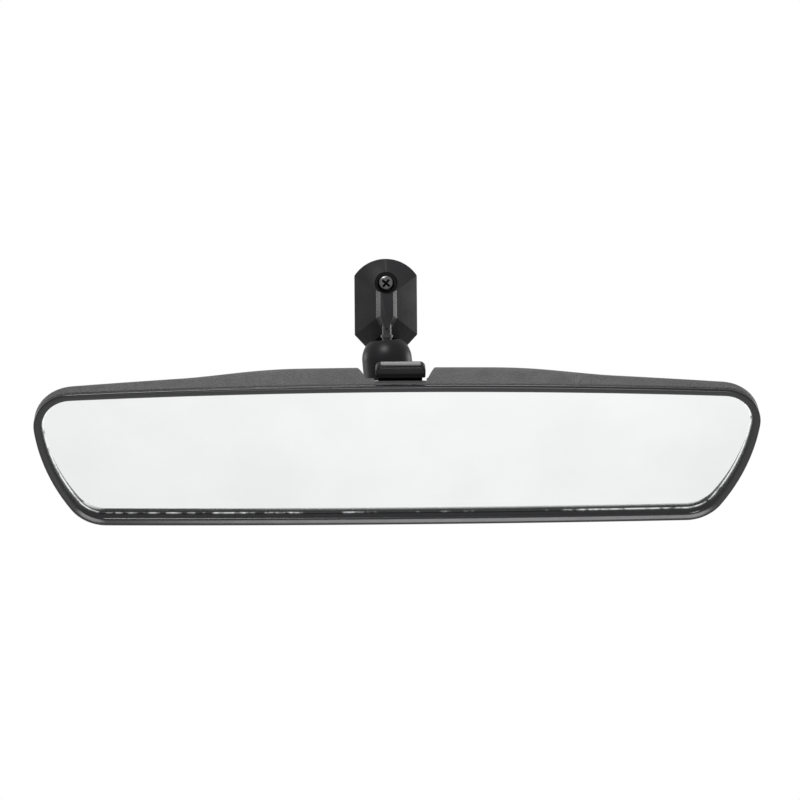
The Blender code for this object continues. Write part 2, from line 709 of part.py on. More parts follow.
def main():
    for old in list(bpy.data.objects):
        bpy.data.objects.remove(old)
    looks = {
        "dark_metal": material("Dark grey zinc casting", (0.035, 0.035, 0.037), 0.32, 0.3),
        "zinc": material("Zinc-plated steel", (0.55, 0.55, 0.53), 0.35, 1.0),
        "steel": material("Bright steel", (0.45, 0.45, 0.46), 0.28, 1.0),
        "spring": material("Spring steel", (0.3, 0.3, 0.31), 0.35, 1.0),
        "nylon": material("Natural nylon", (0.75, 0.73, 0.66), 0.5),
        "arm": material("Black moulded arm", (0.014, 0.014, 0.015), 0.3),
        "gloss_black": material("Gloss black plastic", (0.01, 0.01, 0.011), 0.2),
        "housing": material("Grained charcoal plastic", (0.09, 0.09, 0.093), 0.62),
        "rim": material("Smooth black rim", (0.02, 0.02, 0.021), 0.35),
        "glass": material("Mirror glass", (0.82, 0.85, 0.86), 0.03, 0.9),
        "silver": material("Silvering", (0.9, 0.9, 0.9), 0.05, 1.0),
        "foam": material("Grey foam", (0.2, 0.2, 0.2), 0.9),
        "pad": material("White adhesive foam", (0.85, 0.85, 0.83), 0.7),
        "red_liner": material("Red release liner", (0.36, 0.004, 0.006), 0.4),
    }
    mount_foot(looks["dark_metal"])
    bond(looks)
    foot_screw(looks["zinc"])

    arm = pivot_empty("arm_frame", UPPER_BALL, None, (0, -ARM_LEAN, 0))
    arm_parts(looks, arm)

    bracket = pivot_empty("head_ball_frame", LOWER_BALL, None, (HEAD_TILT, 0, 0))
    bracket_parts(looks, bracket)
    head = pivot_empty("day_night_frame", PIVOT - BALL_IN_HEAD, bracket)
    toggle = pivot_empty("toggle_frame", TOGGLE_AXLE - PIVOT, head)
    toggle_parts(looks, toggle, head)
    rear_housing(looks["housing"], head)
    front_bezel(looks["rim"], head)
    glass_parts(looks, head)
    bpy.context.view_layer.update()


main()
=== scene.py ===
"""Looks for the interior rearview mirror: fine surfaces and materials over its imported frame.

Head pieces are drawn in face coordinates: x right, y depth behind the face, z up. Arm pieces
are drawn about the upper ball with the arm's axis up. Both are carried to the frame by the
joints in the record.
"""
import json
from math import acos, atan2, cos, pi, radians, sin, sqrt, tan

import bmesh
import bpy
from mathutils import Matrix, Vector


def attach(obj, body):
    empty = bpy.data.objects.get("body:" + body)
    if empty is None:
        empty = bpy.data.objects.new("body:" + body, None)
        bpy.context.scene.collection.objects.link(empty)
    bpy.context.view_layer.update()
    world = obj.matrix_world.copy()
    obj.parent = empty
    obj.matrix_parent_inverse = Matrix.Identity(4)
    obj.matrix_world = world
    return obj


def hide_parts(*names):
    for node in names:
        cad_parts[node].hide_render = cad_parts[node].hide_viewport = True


MM = 0.001

# --- the frame ------------------------------------------------------------------

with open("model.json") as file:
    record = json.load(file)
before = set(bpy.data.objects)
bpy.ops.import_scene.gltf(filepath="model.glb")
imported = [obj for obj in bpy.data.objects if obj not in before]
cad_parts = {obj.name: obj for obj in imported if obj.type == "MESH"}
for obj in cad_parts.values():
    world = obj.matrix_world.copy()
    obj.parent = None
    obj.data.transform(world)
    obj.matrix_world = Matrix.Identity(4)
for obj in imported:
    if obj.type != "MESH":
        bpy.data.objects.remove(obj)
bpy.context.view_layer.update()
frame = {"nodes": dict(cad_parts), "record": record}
joints = {joint["name"]: joint for joint in frame["record"]["behaviour"]["joints"]}
UPPER_BALL = Vector(joints["foot_spin"]["pos_m"])
LOWER_BALL = Vector(joints["head_pan"]["pos_m"])
ARM_LENGTH = (UPPER_BALL - LOWER_BALL).length
ARM_AXIS = Vector(joints["head_pan"]["axis"]).normalized()
FACE_NORMAL = Vector(joints["head_roll"]["axis"]).normalized()
HEAD_TILT = atan2(-FACE_NORMAL.z, -FACE_NORMAL.y)
BALL_IN_HEAD = Vector((-0.6 * MM, 19.5 * MM, -6.0 * MM))
HEAD = (
    Matrix.Translation(LOWER_BALL)
    @ Matrix.Rotation(HEAD_TILT, 4, "X")
    @ Matrix.Translation(-BALL_IN_HEAD)
)
LEAN = Vector((0, 0, 1)).rotation_difference(ARM_AXIS).to_matrix().to_4x4()
ARM = Matrix.Translation(UPPER_BALL) @ LEAN
TO_HEAD = HEAD.inverted()
SLOT_X = BALL_IN_HEAD.x
PIVOT = TO_HEAD @ Vector(joints["day_night_tilt"]["pos_m"])
TOGGLE_AXLE = TO_HEAD @ Vector(joints["toggle_flip"]["pos_m"])

# --- driving sizes --------------------------------------------------------------

FOOT_HALF_WIDTH = 11.4 * MM
FOOT_SHOULDER = 10.7 * MM
FOOT_CROWN = 6.1 * MM
FOOT_LOW_CORNER = -10.9 * MM
FOOT_BOTTOM = -16.4 * MM
FOOT_BACK = -2.0 * MM
FOOT_EDGE = -4.2 * MM
POCKET_HALF = (8.3 * MM, 11.9 * MM)
POCKET_FLOOR = -4.1 * MM
SCREW_Z = 7.7 * MM
COUNTERBORE_RADIUS = 4.2 * MM
COUNTERBORE_FLOOR = -5.6 * MM
FOOT_BOTTOM_HALF = 6.3 * MM
# Each is one foot_ring: y, half width, shoulder, crown, low corner, bottom's half width, bottom.
RIB_START = (-12.0 * MM, 3.7 * MM, 5.0 * MM, 0, -5.1 * MM, 0.9 * MM, -10.1 * MM)
RIB_FRONT = (-16.5 * MM, 2.3 * MM, 4.2 * MM, 0, -4.4 * MM, 0.5 * MM, -9.0 * MM)

ARM_RADIUS = 9.0 * MM
ARM_BORE = 7.1 * MM
ARM_MOUTH_HEIGHT = 6.8 * MM
MOUTH_ANGLE = radians(38)
NECK_RADIUS = 1.7 * MM

TOP_RADIUS = 2590 * MM
TOP_HEIGHT = 28.8 * MM
BOTTOM_RADIUS = 7450 * MM
BOTTOM_HEIGHT = -29.1 * MM
SIDE_X = 125.8 * MM
SIDE_ANGLE = 0.245
SIDE_RADIUS = 72.0 * MM
SIDE_STEPS = 8
CORNER_STEPS = 16
EDGE_STEPS = 40
TOP_CORNER = 13.8 * MM
BOTTOM_CORNER = 14.9 * MM
RIM_WIDTH = 2.9 * MM
RIM_DEPTH = 1.5 * MM
CREST = 0.7 * MM
GAP = 0.3 * MM
HOUSING_WALL = 1.1 * MM
HOUSING_DEPTH = 25.0 * MM
HOUSING_SKIRT = 9.4 * MM
CROWN_POWER = 2.4
CROWN_REACH = 0.985
SPINE_END = 0.098
END_START = 0.070
END_SHARE = 0.71
END_TAPER = 4.5
MIDDLE_END = 0.076
MIDDLE_BLEND = 0.042
LIP_THICKNESS = 1.6 * MM
GLASS_FRONT = 3.0 * MM
GLASS_LEAN = 0.037
GLASS_THICKNESS = 2.3 * MM
GLASS_WEDGE = 0.010
GLASS_INSET = 2.3 * MM
TOGGLE_HALF_WIDTH = 8.7 * MM
TOGGLE_FRONT = 4.4 * MM
TOGGLE_THICKNESS = 4.2 * MM
TOGGLE_BOTTOM = 29.5 * MM
TOGGLE_TOP = 34.2 * MM
TOGGLE_HUB_RADIUS = 2.1 * MM
TOGGLE_PIN_BORE = 1.2 * MM
# Half of the slot's outline seen from above: distance from its middle, depth.
SLOT_HALF_PLAN = ((10.8 * MM, 5.9 * MM), (13.1 * MM, 13 * MM), (15.0 * MM, 20 * MM), (15.0 * MM, 40 * MM))
SLOT_BOTTOM = -17.8 * MM
# Each pair of lugs: how far either side of the middle, depth, height.
PIVOT_LUG = ((12.1 * MM, 14.8 * MM), (12.6 * MM, 21.0 * MM), (-21.4 * MM, -14 * MM))
TOGGLE_LUG = ((13.3 * MM, 15.6 * MM), (6.2 * MM, 10.6 * MM), (22 * MM, 28.2 * MM))
PIVOT_BORE = 1.5 * MM

# --- mesh helpers ---------------------------------------------------------------


def add_mesh(name, points, faces, place=None, look=None):
    mesh = bpy.data.meshes.new(name)
    mesh.from_pydata([tuple(point) for point in points], [], faces)
    sheet = bmesh.new()
    sheet.from_mesh(mesh)
    bmesh.ops.recalc_face_normals(sheet, faces=sheet.faces)
    sheet.to_mesh(mesh)
    sheet.free()
    if place:
        mesh.transform(place)
    made = bpy.data.objects.new(name, mesh)
    bpy.context.collection.objects.link(made)
    if look:
        mesh.materials.append(look)
    return made


def smooth(made, angle=35):
    made.data.shade_smooth()
    made.data.set_sharp_from_angle(angle=radians(angle))
    return made


def arc(centre, radius, start, end, steps):
    return [
        (
            centre[0] + radius * cos(start + (end - start) * step / steps),
            centre[1] + radius * sin(start + (end - start) * step / steps),
        )
        for step in range(steps + 1)
    ]


def turned(name, profile, place=None, look=None, segments=96):
    """Solid of revolution about local Z from a closed (radius, height) profile."""
    points, rings, faces = [], [], []
    for radius, height in profile:
        start = len(points)
        if radius < 1e-9:
            points.append((0, 0, height))
            rings.append([start] * segments)
            continue
        for turn in range(segments):
            angle = 2 * pi * turn / segments
            points.append((radius * cos(angle), radius * sin(angle), height))
        rings.append(list(range(start, start + segments)))
    for first, second in zip(rings, rings[1:] + rings[:1]):
        for turn in range(segments):
            after = (turn + 1) % segments
            corners = dict.fromkeys((first[turn], first[after], second[after], second[turn]))
            if len(corners) > 2:
                faces.append(tuple(corners))
    return smooth(add_mesh(name, points, faces, place, look))


def lofted(name, rings, place=None, look=None, closed=False, ladder=False):
    """Skin over rings of equal point counts, capped unless it closes on itself."""
    count = len(rings[0])
    points = [point for ring in rings for point in ring]
    faces = []
    pairs = len(rings) if closed else len(rings) - 1
    for level in range(pairs):
        near = level * count
        far = (level + 1) % len(rings) * count
        for index in range(count):
            after = (index + 1) % count
            faces.append((near + index, near + after, far + after, far + index))
    if not closed:
        last = (len(rings) - 1) * count
        faces.append(tuple(range(count)))
        faces.extend(cap(last, count) if ladder else [tuple(range(last, last + count))])
    return add_mesh(name, points, faces, place, look)


def cap(start, count):
    """Faces across a curved ring whose two halves mirror each other, rung by rung."""
    half = count // 2
    faces = [(start, start + 1, start + count - 1)]
    for index in range(1, half - 1):
        faces.append(
            (start + index, start + index + 1, start + count - index - 1, start + count - index)
        )
    faces.append((start + half - 1, start + half, start + half + 1))
    return faces


def prism(name, outline_points, axis, low, high, place=None):
    """A flat outline extruded from low to high along X, Y or Z."""
    spot = {
        "X": lambda u, v, w: (w, u, v),
        "Y": lambda u, v, w: (u, w, v),
        "Z": lambda u, v, w: (u, v, w),
    }[axis]
    rings = [[spot(u, v, w) for u, v in outline_points] for w in (low, high)]
    return lofted(name, rings, place)


def box(name, low, high, place=None):
    corners = [(low[0], low[1]), (high[0], low[1]), (high[0], high[1]), (low[0], high[1])]
    return prism(name, corners, "Z", low[2], high[2], place)


def rod(name, axis, radius, centre, low, high, segments=64):
    outline_points = arc(centre, radius, 0, 2 * pi, segments)[:-1]
    return smooth(prism(name, outline_points, axis, low, high))


def rounded_box(half_width, half_height, corner, steps=10):
    points = []
    for quarter, (side, up) in enumerate(((1, 1), (-1, 1), (-1, -1), (1, -1))):
        centre = (side * (half_width - corner), up * (half_height - corner))
        points += arc(centre, corner, quarter * pi / 2, (quarter + 1) * pi / 2, steps)
    return points


def shaped(target, changes):
    """Apply unions and cuts in turn, then drop the shapes that made them."""
    for other, operation in changes:
        change = target.modifiers.new(other.name, "BOOLEAN")
        change.operation = operation
        change.solver = "EXACT"
        change.object = other
    bake(target)
    for other, operation in changes:
        bpy.data.objects.remove(other)
    return target


def soften(target, width, segments=3, angle=30, smooth_angle=40):
    """Round the sharp edges and keep the flats flat."""
    bevel = target.modifiers.new("Soft edges", "BEVEL")
    bevel.width = width
    bevel.segments = segments
    bevel.limit_method = "ANGLE"
    bevel.angle_limit = radians(angle)
    bake(target)
    return smooth(target, smooth_angle)


def bake(target):
    bpy.context.view_layer.update()
    shape = target.evaluated_get(bpy.context.evaluated_depsgraph_get())
    mesh = bpy.data.meshes.new_from_object(shape)
    target.modifiers.clear()
    target.data = mesh


def dress(made, look):
    made.data.materials.clear()
    made.data.materials.append(look)


def finish_piece(made, body, slot, *nodes):
    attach(made, body)
    if nodes:
        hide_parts(*nodes)
    return made


# --- materials ------------------------------------------------------------------


def new_material(name, colour, roughness, metallic=0.0, specular=0.5):
    made = bpy.data.materials.new(name)
    made.use_nodes = True
    shader = made.node_tree.nodes["Principled BSDF"]
    shader.inputs["Base Color"].default_value = (*colour, 1)
    shader.inputs["Roughness"].default_value = roughness
    shader.inputs["Metallic"].default_value = metallic
    shader.inputs["Specular IOR Level"].default_value = specular
    return made, made.node_tree, shader


def noise(tree, scale, detail=4.0, stretch=(1, 1, 1)):
    place = tree.nodes.new("ShaderNodeTexCoord")
    spread = tree.nodes.new("ShaderNodeMapping")
    spread.inputs["Scale"].default_value = stretch
    grain = tree.nodes.new("ShaderNodeTexNoise")
    grain.inputs["Scale"].default_value = scale
    grain.inputs["Detail"].default_value = detail
    grain.inputs["Roughness"].default_value = 0.55
    tree.links.new(place.outputs["Object"], spread.inputs["Vector"])
    tree.links.new(spread.outputs["Vector"], grain.inputs["Vector"])
    return grain.outputs["Fac"]


def spread_to(tree, value, low, high, start=0.3, end=0.7):
    span = tree.nodes.new("ShaderNodeMapRange")
    span.inputs["From Min"].default_value = start
    span.inputs["From Max"].default_value = end
    span.inputs["To Min"].default_value = low
    span.inputs["To Max"].default_value = high
    tree.links.new(value, span.inputs["Value"])
    return span.outputs["Result"]


def combined(tree, operation, *values):
    made = tree.nodes.new("ShaderNodeMath")
    made.operation = operation
    for value, socket in zip(values, made.inputs):
        tree.links.new(value, socket)
    return made.outputs["Value"]


def tint(tree, shader, factor, first, second):
    mix = tree.nodes.new("ShaderNodeMix")
    mix.data_type = "RGBA"
    mix.inputs["A"].default_value = (*first, 1)
    mix.inputs["B"].default_value = (*second, 1)
    tree.links.new(factor, mix.inputs["Factor"])
    tree.links.new(mix.outputs["Result"], shader.inputs["Base Color"])
    return mix


def bump(tree, shader, height, strength, distance):
    made = tree.nodes.new("ShaderNodeBump")
    made.inputs["Strength"].default_value = strength
    made.inputs["Distance"].default_value = distance
    tree.links.new(height, made.inputs["Height"])
    tree.links.new(made.outputs["Normal"], shader.inputs["Normal"])


def edge_wear(tree):
    """Worn convex edges, from the surface's pointiness."""
    shape = tree.nodes.new("ShaderNodeNewGeometry")
    return spread_to(tree, shape.outputs["Pointiness"], 0, 1, 0.5, 0.62)


def surfaced(name, colour, roughness, grain, variation=0.12, mottle=60, specular=0.5):
    """Mottled colour, uneven roughness, worn edges and a grain of (scale, strength, distance)."""
    made, tree, shader = new_material(name, colour, roughness, 0.0, specular)
    broad = noise(tree, mottle, 5)
    darker = tuple(channel * (1 - variation) for channel in colour)
    lighter = tuple(min(channel * (1 + variation), 1) for channel in colour)
    mix = tint(tree, shader, spread_to(tree, broad, 0, 1, 0.35, 0.65), darker, lighter)
    worn = tree.nodes.new("ShaderNodeMix")
    worn.data_type = "RGBA"
    worn.inputs["B"].default_value = (*(min(channel * 1.5 + 0.01, 1) for channel in colour), 1)
    tree.links.new(edge_wear(tree), worn.inputs["Factor"])
    tree.links.new(mix.outputs["Result"], worn.inputs["A"])
    tree.links.new(worn.outputs["Result"], shader.inputs["Base Color"])
    smear = noise(tree, 140, 3)
    tree.links.new(
        spread_to(tree, smear, roughness * 0.85, min(roughness * 1.18, 1)), shader.inputs["Roughness"]
    )
    scale, strength, distance = grain
    bump(tree, shader, noise(tree, scale, 2), strength, distance)
    return made


def brushed(name, colour, roughness, stretch):
    """Turned or drawn metal: fine marks along one direction."""
    made, tree, shader = new_material(name, colour, roughness, 1.0)
    marks = noise(tree, 900, 3, stretch)
    darker = tuple(channel * 0.82 for channel in colour)
    tint(tree, shader, marks, darker, colour)
    tree.links.new(spread_to(tree, marks, roughness * 0.8, roughness * 1.3), shader.inputs["Roughness"])
    bump(tree, shader, marks, 0.15, 0.00005)
    return made


def mirror_look():
    """Silvered glass: near-clean reflection with faint haze and wipe marks."""
    made, tree, shader = new_material("Silvered glass", (0.63, 0.64, 0.635), 0.02, 1.0)
    haze = noise(tree, 14, 5, (1, 1, 3))
    tree.links.new(spread_to(tree, haze, 0.015, 0.06, 0.45, 0.8), shader.inputs["Roughness"])
    smear = spread_to(tree, noise(tree, 30, 4), 0, 1)
    tint(tree, shader, smear, (0.605, 0.615, 0.612), (0.645, 0.652, 0.648))
    return made


def ground_edge_and_glint_look():
    """Edge of the ground glass: chipped and frosted, with painted glints in pale runs that grow brighter
    towards the head's ends, near-black between.
    """
    made, tree, shader = new_material("Ground glass edge, painted glints", (0.6, 0.62, 0.62), 0.35, 0.0, 0.8)
    runs = noise(tree, 45, 3, (1, 0.4, 0.4))
    chips = noise(tree, 380, 4, (0.7, 0.5, 0.5))
    place = tree.nodes.new("ShaderNodeTexCoord")
    split = tree.nodes.new("ShaderNodeSeparateXYZ")
    tree.links.new(place.outputs["Object"], split.inputs["Vector"])
    out = combined(tree, "ABSOLUTE", split.outputs["X"])
    # Painted glints: the edge grows brighter towards the head's ends.
    ends = spread_to(tree, out, 0.75, 1.1, 0.045, 0.080)
    both = combined(tree, "MULTIPLY", spread_to(tree, runs, 0.7, 1.15, 0.4, 0.6), chips)
    # Painted glints: the chipped runs set the edge between near-black and pale.
    painted_glint = spread_to(tree, combined(tree, "MULTIPLY", both, ends), 0, 1, 0.36, 0.54)
    tint(tree, shader, painted_glint, (0.05, 0.05, 0.05), (0.9, 0.91, 0.91))
    bump(tree, shader, chips, 0.5, 0.0002)
    return made


LOOKS = {
    "housing": surfaced(
        "Grained charcoal plastic", (0.030, 0.0295, 0.031), 0.5, (1300, 1.0, 0.0006), 0.3, mottle=1300
    ),
    "rim": surfaced(
        "Smooth black rim", (0.006, 0.006, 0.007), 0.20, (700, 0.05, 0.0001), 0.15, specular=0.32
    ),
    "toggle": surfaced(
        "Gloss black toggle", (0.003, 0.003, 0.0035), 0.14, (300, 0.04, 0.0001), specular=0.12
    ),
    "arm": surfaced(
        "Satin black arm", (0.008, 0.008, 0.009), 0.36, (1100, 0.12, 0.0001), 0.15, specular=0.16
    ),
    "foot": surfaced(
        "Black cast zinc", (0.008, 0.008, 0.009), 0.27, (800, 0.08, 0.0001), 0.2, specular=0.21
    ),
    "stud": surfaced("Black oxide steel", (0.012, 0.012, 0.013), 0.30, (900, 0.1, 0.0001), 0.2),
    "zinc": brushed("Zinc-plated steel", (0.38, 0.38, 0.365), 0.40, (1, 1, 0.1)),
    "steel": brushed("Bright turned steel", (0.38, 0.38, 0.39), 0.30, (1, 1, 8)),
    "screw": brushed("Dark screw steel", (0.16, 0.16, 0.165), 0.24, (1, 1, 1)),
    # Painted shade: near-black colour for the screw's cross recess, which is the same steel as the head and
    # dark only from its depth.
    "recess": surfaced("Painted recess shade", (0.004, 0.004, 0.004), 0.6, (900, 0.1, 0.0001), specular=0.1),
    "spring": brushed("Spring steel", (0.30, 0.30, 0.31), 0.32, (0.3, 0.3, 1)),
    "nylon": surfaced("Natural nylon", (0.72, 0.70, 0.62), 0.48, (900, 0.1, 0.0001), 0.06),
    "foam": surfaced("Grey foam", (0.20, 0.20, 0.20), 0.9, (1300, 0.8, 0.0004), 0.2),
    "pad": surfaced("White adhesive foam", (0.84, 0.84, 0.82), 0.7, (1200, 0.3, 0.0002), 0.05),
    "liner": surfaced(
        "Red release liner", (0.17, 0.002, 0.003), 0.45, (40, 0.12, 0.0006), 0.1, specular=0.2
    ),
    "mirror": mirror_look(),
    # Ground glass edge: partly its real frosted edge, partly painted glints.
    "ground": ground_edge_and_glint_look(),
}

# --- face outline and housing form ----------------------------------------------


def circles_meet(first, first_radius, second, second_radius, up):
    """Crossing of two circles in (x, z) that lies furthest right and up or down."""
    along = second - first
    span = along.length
    reach = (first_radius**2 - second_radius**2 + span**2) / (2 * span)
    rise = sqrt(max(first_radius**2 - reach**2, 0))
    middle = first + along * reach / span
    side = Vector((along.y, -along.x)) * rise / span
    return max((middle + side, middle - side), key=lambda spot: spot.x + up * spot.y)


def outline(inset):
    """Face outline moved inwards, from the right-hand side anticlockwise."""
    side_way = Vector((cos(SIDE_ANGLE), -sin(SIDE_ANGLE)))
    side_centre = Vector((SIDE_X, 0)) - side_way * SIDE_RADIUS
    halves = []
    for up, radius, height, corner in (
        (1, TOP_RADIUS, TOP_HEIGHT, TOP_CORNER),
        (-1, BOTTOM_RADIUS, BOTTOM_HEIGHT, BOTTOM_CORNER),
    ):
        edge_centre = Vector((0, height - up * radius))
        corner_centre = circles_meet(
            edge_centre, radius - corner, side_centre, SIDE_RADIUS - corner, up
        )
        to_corner = corner_centre - side_centre
        side_end = atan2(to_corner.y, to_corner.x)
        to_edge = corner_centre - edge_centre
        edge_start = atan2(to_edge.y, to_edge.x)
        half = arc(side_centre, SIDE_RADIUS - inset, -SIDE_ANGLE, side_end, SIDE_STEPS)
        half += arc(corner_centre, corner - inset, side_end, edge_start, CORNER_STEPS)[1:]
        half += arc(edge_centre, radius - inset, edge_start, up * pi / 2, EDGE_STEPS)[1:]
        halves.append(half)
    top, bottom = halves
    ring = top + [(-x, z) for x, z in reversed(top[:-1])]
    ring += [(-x, z) for x, z in bottom[1:]]
    ring += [(x, z) for x, z in reversed(bottom[1:-1])]
    return ring


def depth_share(x):
    """Housing depth along the head, as a share of its depth behind the arm."""
    ends = END_SHARE - END_TAPER * (abs(x) - END_START)
    blend = min(max((MIDDLE_END - abs(x)) / MIDDLE_BLEND, 0), 1)
    blend = blend * blend * (3 - 2 * blend)
    return ends + (1 - ends) * blend


def housing_solid(name, wall):
    """The housing's outer form, or its hollow when wall is positive."""
    ring = outline(wall)
    edge = 0.7 * MM
    if wall == 0:
        start = RIM_DEPTH + GAP
        rings = []
        for step in range(5):
            angle = pi / 2 * step / 4
            inset = edge * (1 - sin(angle))
            depth = start + edge * (1 - cos(angle))
            rings.append([(x, depth, z) for x, z in outline(inset)])
    else:
        rings = [[(x, -2 * MM, z) for x, z in ring]]
    rings.append([(x, HOUSING_SKIRT * depth_share(x), z) for x, z in ring])
    steps = 22
    for step in range(1, steps + 1):
        share = sin(pi / 2 * step / steps * CROWN_REACH)
        shrink = (1 - share**CROWN_POWER) ** (1 / CROWN_POWER)
        level = []
        for x, z in ring:
            spine = min(max(x, -SPINE_END), SPINE_END)
            moved = spine + (x - spine) * shrink
            skirt = HOUSING_SKIRT * depth_share(x)
            back = HOUSING_DEPTH * depth_share(moved) - wall
            level.append((moved, skirt + (back - skirt) * share, z * shrink))
        rings.append(level)
    return lofted(name, rings, ladder=True)


def glass_front(z):
    """The wedge glass leans back in its rim: deeper towards its lower edge."""
    return GLASS_FRONT - GLASS_LEAN * z


def glass_back(z):
    return glass_front(z) + GLASS_THICKNESS - GLASS_WEDGE * z


# --- head -----------------------------------------------------------------------


def lug(name, middle, side, sizes):
    """A block on one side of a middle x, from its reaches, depths and heights."""
    reaches, depths, heights = sizes
    low, high = sorted(middle + side * reach for reach in reaches)
    return box(f"{name}_{side}", (low, depths[0], heights[0]), (high, depths[1], heights[1]))


def housing():
    shell = housing_solid("housing_shell", 0)
    hollow = housing_solid("hollow", HOUSING_WALL)
    right = [(SLOT_X + half, depth) for half, depth in SLOT_HALF_PLAN]
    left = [(SLOT_X - half, depth) for half, depth in SLOT_HALF_PLAN]
    slot = prism("slot", left[:1] + right + left[:0:-1], "Z", SLOT_BOTTOM, 45 * MM)
    reach = TOGGLE_HALF_WIDTH + 0.5 * MM
    toggle_slot = box(
        "toggle_slot",
        (TOGGLE_AXLE.x - reach, TOGGLE_FRONT - 0.4 * MM, 20 * MM),
        (TOGGLE_AXLE.x + reach, 9 * MM, 40 * MM),
    )
    changes = [(hollow, "DIFFERENCE")]
    pivot_lugs = []
    for side in (-1, 1):
        pivot_lugs.append((lug("pivot_lug", SLOT_X, side, PIVOT_LUG), "UNION"))
        changes.append((lug("toggle_lug", TOGGLE_AXLE.x, side, TOGGLE_LUG), "UNION"))
    changes += [(slot, "DIFFERENCE"), (toggle_slot, "DIFFERENCE")] + pivot_lugs
    for name, radius, axle in (("pivot_way", PIVOT_BORE, PIVOT), ("pin_way", TOGGLE_PIN_BORE, TOGGLE_AXLE)):
        way = rod(name, "X", radius, (axle.y, axle.z), -20 * MM, 20 * MM, segments=32)
        changes.append((way, "DIFFERENCE"))
    shaped(shell, changes)
    shell.data.transform(HEAD)
    shell.data.materials.append(LOOKS["housing"])
    smooth(shell, 32)
    return finish_piece(shell, "head", "housing_grain", "rear_housing")


def rim():
    """Rounded rim, stepped lip towards the glass and a skirt inside the housing."""
    section = [
        (0.6 * MM, RIM_DEPTH), (0.25 * MM, RIM_DEPTH - 0.1 * MM), (0, RIM_DEPTH - 0.4 * MM), (0, CREST)
    ]
    section += [(CREST - x, CREST - y) for x, y in arc((0, 0), CREST, 0, pi / 2, 8)[1:]]
    section += [(1.2 * MM, 0.08 * MM), (2.3 * MM, 0.42 * MM), (2.65 * MM, 0.62 * MM), (RIM_WIDTH, 1.1 * MM)]
    rings = [[(x, depth, z) for x, z in outline(inset)] for inset, depth in section]
    for inset, beyond in (
        (RIM_WIDTH, 0), (2.0 * MM, 0), (2.0 * MM, LIP_THICKNESS), (1.4 * MM, LIP_THICKNESS)
    ):
        rings.append([(x, glass_front(z) - GAP + beyond, z) for x, z in outline(inset)])
    rings.append([(x, RIM_DEPTH, z) for x, z in outline(1.4 * MM)])
    made = smooth(lofted("rim", rings, HEAD, LOOKS["rim"], closed=True), 40)
    return finish_piece(made, "head", "rim_black", "front_bezel")


def glass():
    """Wedge glass with a chamfered front edge, ground on the chamfer and the sides."""
    chamfer = 0.25 * MM
    edge = RIM_WIDTH + 0.55 * MM
    rings = [[(x, glass_front(z), z) for x, z in outline(edge)]]
    rings.append([(x, glass_front(z) + chamfer * 0.4, z) for x, z in outline(GLASS_INSET + 0.1 * MM)])
    rings.append([(x, glass_front(z) + chamfer, z) for x, z in outline(GLASS_INSET)])
    rings.append([(x, glass_back(z), z) for x, z in outline(GLASS_INSET)])
    pane = lofted("glass_pane", rings, HEAD, LOOKS["mirror"])
    # The chamfer and sides take the ground edge look, with its painted glints.
    pane.data.materials.append(LOOKS["ground"])
    for face in pane.data.polygons:
        face.material_index = int(len(face.vertices) == 4)
    return finish_piece(pane, "head", "glass", "mirror_glass")


def toggle():
    left = TOGGLE_AXLE.x - TOGGLE_HALF_WIDTH
    right = TOGGLE_AXLE.x + TOGGLE_HALF_WIDTH
    back = TOGGLE_FRONT + TOGGLE_THICKNESS
    corner = 2.0 * MM
    tab = [(left, TOGGLE_BOTTOM), (right, TOGGLE_BOTTOM)]
    tab += arc((right - corner, TOGGLE_TOP - corner), corner, 0, pi / 2, 10)
    tab += arc((left + corner, TOGGLE_TOP - corner), corner, pi / 2, pi, 10)
    lever = soften(prism("toggle_tab", tab, "Y", TOGGLE_FRONT, back), 0.55 * MM, 4, 40, 50)
    stem = box(
        "stem", (left + 1 * MM, TOGGLE_AXLE.y - 1.6 * MM, TOGGLE_AXLE.z),
        (right - 1 * MM, TOGGLE_AXLE.y + 0.1 * MM, 30.6 * MM),
    )
    hub = rod(
        "hub", "X", TOGGLE_HUB_RADIUS, (TOGGLE_AXLE.y, TOGGLE_AXLE.z),
        left + 1 * MM, right - 1 * MM, segments=48,
    )
    way = rod("way", "X", TOGGLE_PIN_BORE, (TOGGLE_AXLE.y, TOGGLE_AXLE.z), -30 * MM, 30 * MM, segments=32)
    shaped(lever, [(stem, "UNION"), (hub, "UNION"), (way, "DIFFERENCE")])
    lever.data.transform(HEAD)
    dress(lever, LOOKS["toggle"])
    smooth(lever, 35)
    return finish_piece(lever, "toggle", "gloss_black", "toggle_lever")


# --- arm ------------------------------------------------------------------------


def arm():
    mouth = ARM_MOUTH_HEIGHT * tan(MOUTH_ANGLE)
    rim_angle = acos(ARM_MOUTH_HEIGHT / ARM_RADIUS)
    dome = [
        (ARM_RADIUS * sin(angle), ARM_RADIUS * cos(angle))
        for angle in (rim_angle + (pi / 2 - rim_angle) * step / 24 for step in range(25))
    ]
    socket = [
        (ARM_BORE * sin(angle), ARM_BORE * cos(angle))
        for angle in (pi / 2 + (MOUTH_ANGLE - pi / 2) * step / 12 for step in range(13))
    ]
    lip = 0.2 * MM
    mouth_edge = [(mouth, ARM_MOUTH_HEIGHT - lip), (mouth + lip, ARM_MOUTH_HEIGHT)]
    tube = mouth_edge + dome + [(ARM_RADIUS, 0.3 * MM - ARM_LENGTH), (ARM_RADIUS - 0.3 * MM, -ARM_LENGTH)]
    tube += [(ARM_BORE, -ARM_LENGTH)] + socket
    made = turned("arm_tube", tube, ARM, LOOKS["arm"], 128)
    finish_piece(made, "arm", "arm_black", "swivel_arm")
    closing = mouth_edge + dome[:-1] + [(ARM_RADIUS, GAP), (ARM_BORE, GAP)] + socket[1:]
    collar = turned(
        "arm_collar", [(radius, -ARM_LENGTH - height) for radius, height in closing],
        ARM, LOOKS["arm"], 128,
    )
    finish_piece(collar, "arm", "arm_black", "arm_end_cap")


# --- foot -----------------------------------------------------------------------


